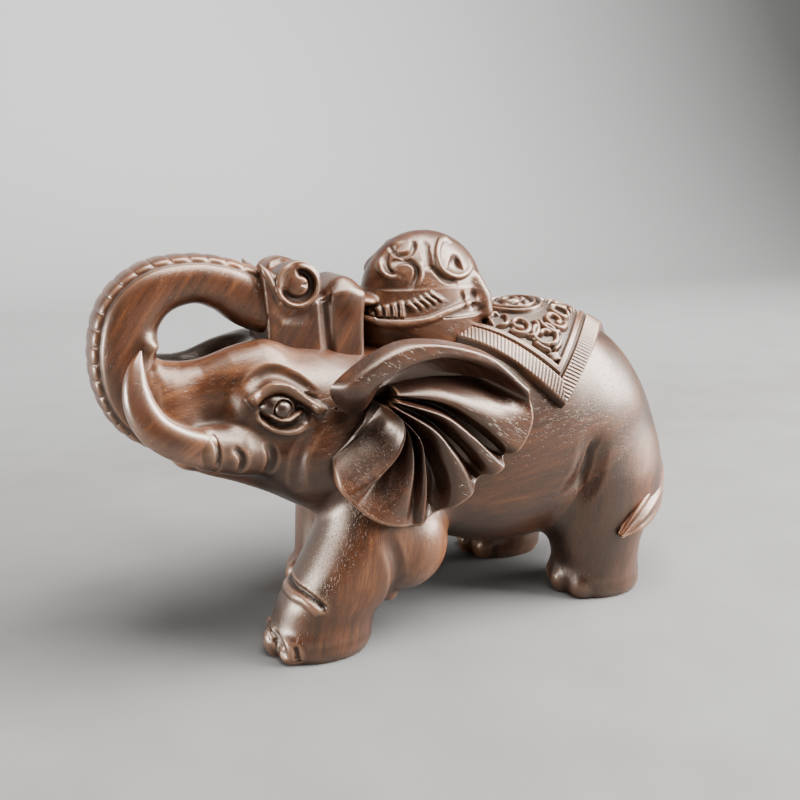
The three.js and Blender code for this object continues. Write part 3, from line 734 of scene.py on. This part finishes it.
def ear_shell():
    """The folded face, its rounded edge and the plain back of a left ear."""
    folds = np.array(FOLDS, float)
    across = smooth_path(folds.reshape(len(folds), -1), int(560 / COARSE)).reshape(-1, *folds.shape[1:])
    face = np.stack([smooth_path(line, int(130 / COARSE)) for line in across])
    share = np.clip(face[..., 2] / EAR_RISE, 0, 1)
    rise = np.where(face[..., 2] > 0, EAR_RISE * (1 - (1 - share) ** 1.6), face[..., 2])
    skin = np.full(rise.shape, -34.0)  # the body's side, which no valley goes below
    for _ in range(14):
        skin = np.minimum(skin + body_form(face[..., 0], skin, face[..., 1]), -20)
    face[..., 2] = -blend(-rise, EAR_BASE + skin - 0.5, 0.8)
    edge, before = face[:, -1], face[:, -4]
    outward = edge[:, :2] - before[:, :2]
    outward /= np.linalg.norm(outward, axis=1, keepdims=True)
    lip = [np.column_stack([edge[:, :2] + outward * past, np.maximum(edge[:, 2] - down, -1)])
           for past, down in LIP[1:]]
    back = []
    for share in (1.0, 0.8, 0.5, 0.2, 0.0):
        inner = face[:, 0, :2] * (1 - share) + lip[-1][:, :2] * share
        back.append(np.column_stack([inner, np.full(len(inner), EAR_BACK - EAR_BASE)]))
    rows = np.concatenate([face, np.stack(lip, axis=1), np.stack(back, axis=1)], axis=1)
    return np.stack([rows[..., 0], -EAR_BASE - rows[..., 2], rows[..., 1]], axis=-1)


shell = ear_shell()
shade = 0.66 - 0.66 * step_up(-shell[..., 1] - EAR_BASE, 0.2, 3.0)
ear_wood = waxed_wood("ear_rosewood", (0, -35, 0), 0.46)
for side, name in ((1, "left_ear"), (-1, "right_ear")):
    ear = tube(name, shell[:, ::side] * (1, side, 1), shade[:, ::side])
    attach(ear, "root")
    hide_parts(name)
    ear.data.materials.append(ear_wood)

# ---- Eyes ----
# A bead of the same wood is set in each almond socket, and polished. The iris is a smaller dome on it,
# inside a fine ring that is cut round it.
EYE = (-46.6, 16.8, 64.9)
IRIS = (-46.2, 21.3, 64.4)


def eye_form(x, y, z):
    bead = ball(x, y, z, EYE, (5.4, 5.3, 4.1))
    ringed = carve_off(bead, ball(x, y, z, IRIS, (2.4, 1.5, 2.4)), 0.3)
    return blend(ringed, ball(x, y, z, IRIS, (2.05, 1.5, 2.05)), 0.1)


points, quads = mesh_of_form(eye_form, (-53, 11, 60), (-40, 24, 70), 0.18 * COARSE)
eye_wood = waxed_wood("eye_rosewood", (0, 0, 0), 0.3, coat=0.5)
for side, name in ((-1, "left_eye"), (1, "right_eye")):
    eyeball = solid(name, points * (1, side, 1), quads[:, ::side])
    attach(eyeball, "root")
    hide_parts(name)
    eyeball.data.materials.append(eye_wood)

# ---- Cloud scroll ----
# A block on the forehead that the trunk's tip runs into: a pointed collar in front, a scroll rolled
# up on each side, and a rounded lobe behind.
SCROLL_MIDDLE = (-37.6, 92.2)


def slab(x, y, z, outline, half_width):
    """A form with this outline in x and z, its corners met by straight lines, and flat sides."""
    inside, gap = np.full(np.broadcast(x, z).shape, -1.0), np.full(np.broadcast(x, z).shape, 1e9)
    for (x0, z0), (x1, z1) in zip(outline, outline[1:] + outline[:1]):
        dx, dz = x1 - x0, z1 - z0
        t = np.clip(((x - x0) * dx + (z - z0) * dz) / (dx ** 2 + dz ** 2), 0, 1)
        gap = np.minimum(gap, np.hypot(x - x0 - t * dx, z - z0 - t * dz))
        crosses = ((z0 > z) != (z1 > z)) & (x < dx * (z - z0) / (dz + 1e-9) + x0)
        inside = np.where(crosses, -inside, inside)
    flat = np.where(inside > 0, -gap, gap)
    return -blend(-flat, -(np.abs(y) - half_width), 1.6)


def scroll_form(x, y, z):
    base = [(-45.6, 76), (-20.5, 70), (-20.5, 88.5), (-29, 88.5), (-43, 88), (-45.6, 90)]
    block = slab(x, y, z, base, 9.1)
    roll = rod(x, y, z, [(SCROLL_MIDDLE[0], side, SCROLL_MIDDLE[1], 5.7) for side in (-9.4, 9.4)])
    roll = np.maximum(roll, np.abs(y) - 9.9)
    lobe = rod(x, y, z, [(-25, -5.4, 89, 4.4), (-25, 5.4, 89, 4.4)])
    lobe = blend(lobe, slab(x, y, z, [(-29.6, 72), (-20.6, 70), (-20.8, 89), (-29, 89)], 9.4), 4.5)
    collar = slab(x, y, z, [(-47, 97.6), (-41.5, 93.6), (-38.5, 86), (-42, 82), (-45.6, 85.5)], 9.6)
    dip = rod(x, y, z, [(-50, 0, 99.5, 5.6), (-38, 0, 99.5, 4)])
    form = blend(block, blend(collar, roll, 0.6), 1)
    return carve_off(blend(form, lobe, 1.6), dip, 2)


def spiral(middle, start, end, turns, phase, count=40):
    """Points of a spiral that winds out from one radius to another."""
    t = np.linspace(0, 1, count)
    angle = phase + 2 * math.pi * turns * t
    radius = start + (end - start) * t
    return np.column_stack([middle[0] + radius * np.cos(angle), middle[1] + radius * np.sin(angle)])


points, quads = mesh_of_form(scroll_form, (-49, -12, 71), (-18, 12, 100), 0.27 * COARSE)
SCROLL_CUTS = [
    (spiral(SCROLL_MIDDLE, 2.9, 4.0, -0.8, 1.9, 16), 1.15, -1.5, 0.12, 0.9),
    (spiral(SCROLL_MIDDLE, 4.3, 5.4, -1.0, 1.8, 16), 0.85, 0.5, 0.08, 1),
    (spiral(SCROLL_MIDDLE, 0.6, 0.6, 1.0, 0.0, 8), 2.2, 0.6, 0.01, 1),
    ([(-46.4, 96.8), (-44.6, 93), (-43, 89.6), (-42.4, 86.4)], 0.9, 0.5, 0.2, 1),
    ([(-30.6, 95), (-30.8, 90), (-30.6, 84), (-30, 76), (-29.4, 72)], 2.2, -0.9, 0.25, 2),
    ([(-44.4, 86), (-41, 84.4), (-36.4, 84), (-32.6, 86)], 2.2, -0.4, 0.25, 2),
]
points = cut_detail(points, normals_of(points, quads), SCROLL_CUTS)
scroll = solid("cloud_scroll", points, quads)
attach(scroll, "root")
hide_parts("cloud_scroll")
scroll.data.materials.append(waxed_wood("scroll_rosewood", (0, 60, 0), 0.45))

# ---- Ingot ----
# An old-style ingot: a boat with a raised rim, a domed middle carved with swirls, and a fringe of
# ropes and leaves between them. It stands on the shoulders, behind the scroll.
INGOT = (0.4, 0.0, 87.6)
RIM_LINE = [
    (-22.4, 87.4), (-21.6, 83.4), (-17, 81.6), (-11, 81.3), (-5, 82.4), (1, 84.2), (7, 85.6), (13, 86.4),
    (17.6, 85.6),
]
INGOT_BAND = [(76, -0.4, 0, 17.4, 12.6), (84, -0.2, 0, 17.6, 12.8), (89, 0.2, 0, 16.6, 11.8)]
INGOT_HULL = [(64, -0.8, 0, 14.6, 11), (72, -0.8, 0, 15.6, 12.2), (78, -0.8, 0, 17.8, 13.6),
              (82, -0.8, 0, 18.6, 14.2)]


def ingot_form(x, y, z):
    dome = ball(x, y, z, INGOT, (17.2, 12.4, 16.4))
    band = pillar(x, y, z, INGOT_BAND, 2.3)
    hull = pillar(x, y, z, INGOT_HULL, 2.2)
    places, lifts = zip(*RIM_LINE)
    ledge = []
    for turn in np.linspace(0, 2 * math.pi, 49):
        place = -1.6 + 20.2 * math.cos(turn)
        ledge.append((place * 0.93, 14.0 * math.sin(turn), np.interp(place, places, lifts) - 0.5, 0.8))
    form = blend(band, dome, 1.2)
    form = blend(form, hull, 0.8)
    form = blend(form, rod(x, y, z, ledge), 1)
    tongue = ball(x, y, z, (-18.4, 0, 86.6), (4.6, 8.5, 2.0))
    drape = rod(x, np.abs(y), z, [(12.4, 8.4, 91, 1.4), (14.6, 9.2, 86.6, 1.9), (15, 9.8, 82.6, 1.8)])
    return blend(blend(form, tongue, 1.5), drape, 3)


points, quads = mesh_of_form(ingot_form, (-25, -17, 63), (22, 17, 106), 0.27 * COARSE)
ropes = [
    ([(-17.5 + 1.7 * k, 84.8 + 0.5 * k), (-16.9 + 1.62 * k, 83.6 + 0.3 * k), (-16.6 + 1.5 * k, 82.3)],
     0.7, 0.9, 0.15, 0.6) for k in range(5)
]
leaves = [
    ([(-9.5 + 1.45 * k, 86.6 + 0.62 * k), (-8 + 1.6 * k, 85.4 + 0.56 * k), (-6.7 + 1.9 * k, 84 + 0.55 * k)],
     0.72, 0.9, 0.3, 0.8) for k in range(5)
]
INGOT_CUTS = ropes + leaves + [
    ([(-6.5, 102.1), (-8.7, 101.4), (-10.9, 99.9), (-13.2, 97.3), (-13.8, 94.5), (-12.6, 92.8),
      (-9.9, 92.4)], 0.8, 0.7, 0.2, 0.8),
    ([(-8.3, 101.2), (-11.1, 99.2), (-12.4, 96.8), (-12.4, 94.6), (-11.0, 93.3)], 0.75, -0.9, 0.2, 0.8),
    ([(-8.9, 100.9), (-10, 99.6), (-9.8, 98.4), (-8.4, 98.1), (-6.5, 98.8), (-5.1, 100.6), (-4.9, 102)],
      0.75, -1.0, 0.2, 0.8),
    ([(-11.5, 94.5), (-10.8, 96), (-9.1, 96.8), (-7.3, 96.6), (-6, 95.1), (-6.2, 93), (-7.5, 90.9),
      (-9.3, 89.4)], 0.9, -1.1, 0.35, 0.8),
    ([(-5.2, 96.8), (-4.8, 94.8), (-5.4, 92.4), (-6.8, 90.2)], 0.6, 0.5, 0.3, 0.9),
    ([(-1.0, 102.1), (-2.4, 100.1), (-2.7, 97.9), (-2.8, 96), (-2.5, 94)], 1.4, -0.7, 0.2, 1.2),
    ([(7.6, 101.4), (3.4, 101.6), (1.0, 99.8), (0, 97.2), (0.6, 94.6), (3, 92.9), (6.2, 92.4),
      (9.8, 93.8), (12.4, 97)], 0.85, 0.8, 0.1, 0.8),
    ([(3.2, 96.8), (5.2, 95.6), (7.6, 96)], 2.6, -1.5, 0.3, 1.0),
    ([(-2.4, 95.7), (-1.1, 94.2), (1.3, 91.8), (5.5, 91)], 0.9, -0.8, 0.2, 1.0),
    ([(6.3, 89), (6.6, 86.2), (6.1, 83.4)], 0.9, -0.6, 0.3, 1.2),
    ([(10.6, 89.2), (10.2, 86), (9.2, 83)], 1.1, -0.8, 0.3, 1.2),
]
points = cut_detail(points, normals_of(points, quads), INGOT_CUTS)
ingot = solid("ingot", points, quads)
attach(ingot, "root")
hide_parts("ingot")
ingot.data.materials.append(waxed_wood("ingot_rosewood", (0, -25, 0), 0.42))

# ---- Saddle cloth ----
# A square cloth laid cornerwise over the back, carved in low relief: a hatched hem, a plain band, and
# scrolls on a sunk ground round a medallion on the spine.
CLOTH_MIDDLE, CLOTH_REACH, CLOTH_WRAP, CLOTH_AXIS = 27.8, 36.0, 1.22, 48.0
CLOTH_SIDE = 48.0  # millimetres along each side of the square
CLOTH_THICK = 2.0
CLOTH_DEPTH = 1.6  # how deep the ground is sunk below the hem
CLOTH_UNDER = -1.2  # the underside, let into the back
HEM, GROOVE, BAND = 4.6, 5.4, 6.6  # where each ends, in millimetres in from the edge
HATCH = 0.95  # from one cut of the hatching to the next


def on_back(p, q, lift):
    """Places over the back for the cloth's own coordinates p and q, from -0.5 to 0.5."""
    x = CLOTH_MIDDLE + CLOTH_REACH * (p + q)
    turn = CLOTH_WRAP * (q - p)
    radius = np.full(np.shape(x), 30.0)
    for _ in range(8):
        radius = radius - barrel(x, radius * np.sin(turn), CLOTH_AXIS + radius * np.cos(turn), TORSO, ROUND)
    radius = radius + lift
    return np.stack([x, radius * np.sin(turn), CLOTH_AXIS + radius * np.cos(turn)], axis=-1)


def cloth_relief(p, q):
    """Height of the carving over the cloth's sunk ground, from 0 to about 1 millimetre."""
    a, b = p * CLOTH_SIDE, q * CLOTH_SIDE
    inset = CLOTH_SIDE / 2 - np.maximum(np.abs(a), np.abs(b))
    along = np.where(np.abs(a) > np.abs(b), b * np.sign(a), -a * np.sign(b))
    hem = 1.0 + 0.16 * np.abs(np.sin(math.pi * (along + 0.35 * inset) / HATCH)) * step_up(inset, 0.3, 0.8)
    low, high = np.sort(np.abs([a, b]), axis=0)
    scrolls = [
        (spiral((5.2, 12.6), 0.9, 3.0, 1.3, 0.3, 14), 0.75, 1.0, 0.03),
        (spiral((11.6, 12.2), 0.8, 3.2, 1.2, 2.6, 14), 0.75, 1.0, 0.03),
        ([(7.6, 15.0), (9.6, 13.4), (9.4, 10.4), (7.6, 8.6)], 0.7, 1.0),
        ([(14.8, 14.8), (12.2, 15.6), (9.6, 15.4)], 0.6, 1.0),
        ([(0, 15.6), (2.2, 14.2), (2.0, 11.6), (0, 10.2)], 0.65, 1.0),
        ([(14.9, 14.9), (16.6, 16.6)], 2.0, 1.1),
    ]
    raised = np.max([relief_line(low, high, *line) for line in scrolls], axis=0)
    middle = np.hypot(a, b)
    rings = [np.clip(1 - ((middle - r) / w) ** 2, 0, 1) for r, w in ((8.3, 0.6), (6.6, 0.45), (2.2, 1.2))]
    petals = np.clip(1 - ((middle - 4.4) / 1.6) ** 2, 0, 1) * np.abs(np.cos(4 * np.arctan2(b, a)))
    ground = np.maximum(np.sqrt(np.clip(raised, 0, 1)), np.maximum(np.max(rings, axis=0), 0.8 * petals))
    ground = np.maximum(ground, 1.0 - 0.9 * step_up(inset, BAND, BAND + 0.4))
    height = np.select([inset < HEM, inset < GROOVE, inset < BAND], [hem, 0.35, 1.0], ground)
    return height * step_up(inset, -0.2, 0.5) - 0.4 * (1 - step_up(inset, -0.1, 0.6))


parts, cells = int(24 / COARSE), 12  # the underside's squares along each side, and the face's in each
fine = parts * cells + 1
p, q = np.meshgrid(np.linspace(-0.5, 0.5, fine), np.linspace(-0.5, 0.5, fine), indexing="ij")
relief = cloth_relief(p, q)
face = on_back(p, q, CLOTH_THICK - CLOTH_DEPTH + CLOTH_DEPTH * relief)
under = on_back(p[::cells, ::cells], q[::cells, ::cells], CLOTH_UNDER)


def grid_faces(count):
    index = np.arange(count * count).reshape(count, count)
    squares = np.stack([index[:-1, :-1], index[1:, :-1], index[1:, 1:], index[:-1, 1:]], axis=-1)
    rim = np.concatenate([index[0, :-1], index[:-1, -1], index[-1, :0:-1], index[:0:-1, 0]])
    return squares.reshape(-1, 4), rim


top_faces, top_rim = grid_faces(fine)
under_faces, under_rim = grid_faces(parts + 1)
under_rim = under_rim + fine * fine
nearest = under_rim[((np.arange(len(top_rim)) + cells // 2) // cells) % len(under_rim)]
hem_faces = np.stack([top_rim, np.roll(top_rim, -1), nearest], axis=-1)
turns = np.arange(len(under_rim)) * cells + cells // 2
corner_faces = np.stack([under_rim, top_rim[turns], np.roll(under_rim, -1)], axis=-1)
# The sunk ground is marked deep, so it takes the hollows' dark colour: partly dark wax, partly painted
# shade.
cloth = solid("saddle_cloth", np.vstack([face.reshape(-1, 3), under.reshape(-1, 3)]),
              top_faces, under_faces[:, ::-1] + fine * fine, np.vstack([hem_faces, corner_faces]),
              deep=np.append(1 - relief.ravel(), np.zeros(len(under.reshape(-1, 3)))))
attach(cloth, "root")
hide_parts("saddle_cloth")
cloth.data.materials.append(waxed_wood("cloth_rosewood", (0, 0, 0), 0.4))

# ---- Tail ----
# The tail is carved down the rump and round to the left, and ends in a leaf-shaped tuft with its
# strands cut in.
TAIL = [
    (59, 0, 62, 1.8, 1.8), (67.5, 0, 57.5, 2.7, 2.7), (75, -1, 47, 2.8, 2.8), (77, -4.5, 38.5, 2.8, 2.8),
    (74.5, -11, 32.5, 3.4, 2.8), (69, -18.5, 29, 4.9, 2.8), (62, -25.3, 26.5, 5.5, 2.8),
    (54.5, -29.5, 23.5, 4, 2.3), (47.5, -31.3, 20, 0.5, 0.5),
]
rings, out, across_share, _ = sweep(TAIL, Z_AXIS, int(260 / COARSE), int(96 / COARSE), 2.2)
share = np.linspace(0, 1, len(rings))[:, None]
strands = 0.4 * np.cos(7 * np.arcsin(np.clip(across_share, -1, 1)) + 5 * share) * step_up(share, 0.45, 0.65)
tail = tube("tail", rings + out * strands[..., None])
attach(tail, "root")
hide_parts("tail")
tail.data.materials.append(block_wood)

# ---- Floor, lights and camera ----
# A pale table that sweeps up into a pale backdrop. The light is soft: a tall panel at the front right,
# a low one at the left and a broad one overhead.
SWEEP_START, SWEEP_RADIUS, SWEEP_TURN = 0.6, 0.5, 1.45
profile = [(-3, 0), (SWEEP_START, 0)]
for turn in np.linspace(0, SWEEP_TURN, 16)[1:]:
    profile.append((SWEEP_START + SWEEP_RADIUS * math.sin(turn), SWEEP_RADIUS * (1 - math.cos(turn))))
profile.append((1.5, 3))
ground = bpy.data.meshes.new("floor")
ground.from_pydata([(x, y, z) for y, z in profile for x in (-3, 3)], [],
                   [(2 * k, 2 * k + 1, 2 * k + 3, 2 * k + 2) for k in range(len(profile) - 1)])
ground.shade_smooth()
floor = bpy.data.objects.new("floor", ground)
bpy.context.collection.objects.link(floor)
paint = bpy.data.materials.new("pale_table")
paint.use_nodes = True
tree = paint.node_tree
place = wire(tree, "TexCoord").outputs["Object"]
mottle = wire(tree, "TexNoise", {"Vector": place, "Scale": 30.0, "Detail": 6.0}).outputs["Fac"]
felt = ramp(tree, mottle, [(0.3, (0.105, 0.102, 0.098)), (0.7, (0.125, 0.122, 0.118))])
distance = wire(tree, "SeparateXYZ", {0: place}).outputs["Y"]
behind = wire(tree, "MapRange", {"Value": distance, "From Min": 0.15, "From Max": 1.1}).outputs[0]
tint = mix_colour(tree, behind, felt, (0.5, 0.5, 0.495))
tree.links.new(tint, tree.nodes["Principled BSDF"].inputs["Base Color"])
tree.nodes["Principled BSDF"].inputs["Roughness"].default_value = 0.85
ground.materials.append(paint)


middle = Vector((0, 0, 0.05))


def soft_light(name, place, size, power):
    light = bpy.data.lights.new(name, "AREA")
    light.shape = "RECTANGLE"
    light.size, light.size_y = size
    light.energy = power
    lamp = bpy.data.objects.new(name, light)
    lamp.location = place
    lamp.rotation_euler = (middle - lamp.location).to_track_quat("-Z", "Y").to_euler()
    bpy.context.collection.objects.link(lamp)


soft_light("right", (0.62, -0.27, 0.45), (0.5, 0.75), 46)
soft_light("left", (-0.75, 0.08, 0.11), (0.45, 0.18), 13)
soft_light("overhead", (0.12, -0.12, 0.8), (0.7, 0.6), 26)
world = bpy.data.worlds.new("studio")
bpy.context.scene.world = world
world.use_nodes = True
world.node_tree.nodes["Background"].inputs["Color"].default_value = (0.9, 0.84, 0.78, 1)
world.node_tree.nodes["Background"].inputs["Strength"].default_value = 0.03

eye = bpy.data.cameras.new("camera")
eye.lens = 40.5
eye.sensor_width = 36
camera = bpy.data.objects.new("camera", eye)
camera.location = metres((-106.9, -219.6, 118.0))
heading, dip = math.radians(24.66), math.radians(14)
camera.rotation_euler = (math.pi / 2 - dip, 0, -heading)
bpy.context.collection.objects.link(camera)
bpy.context.scene.camera = camera
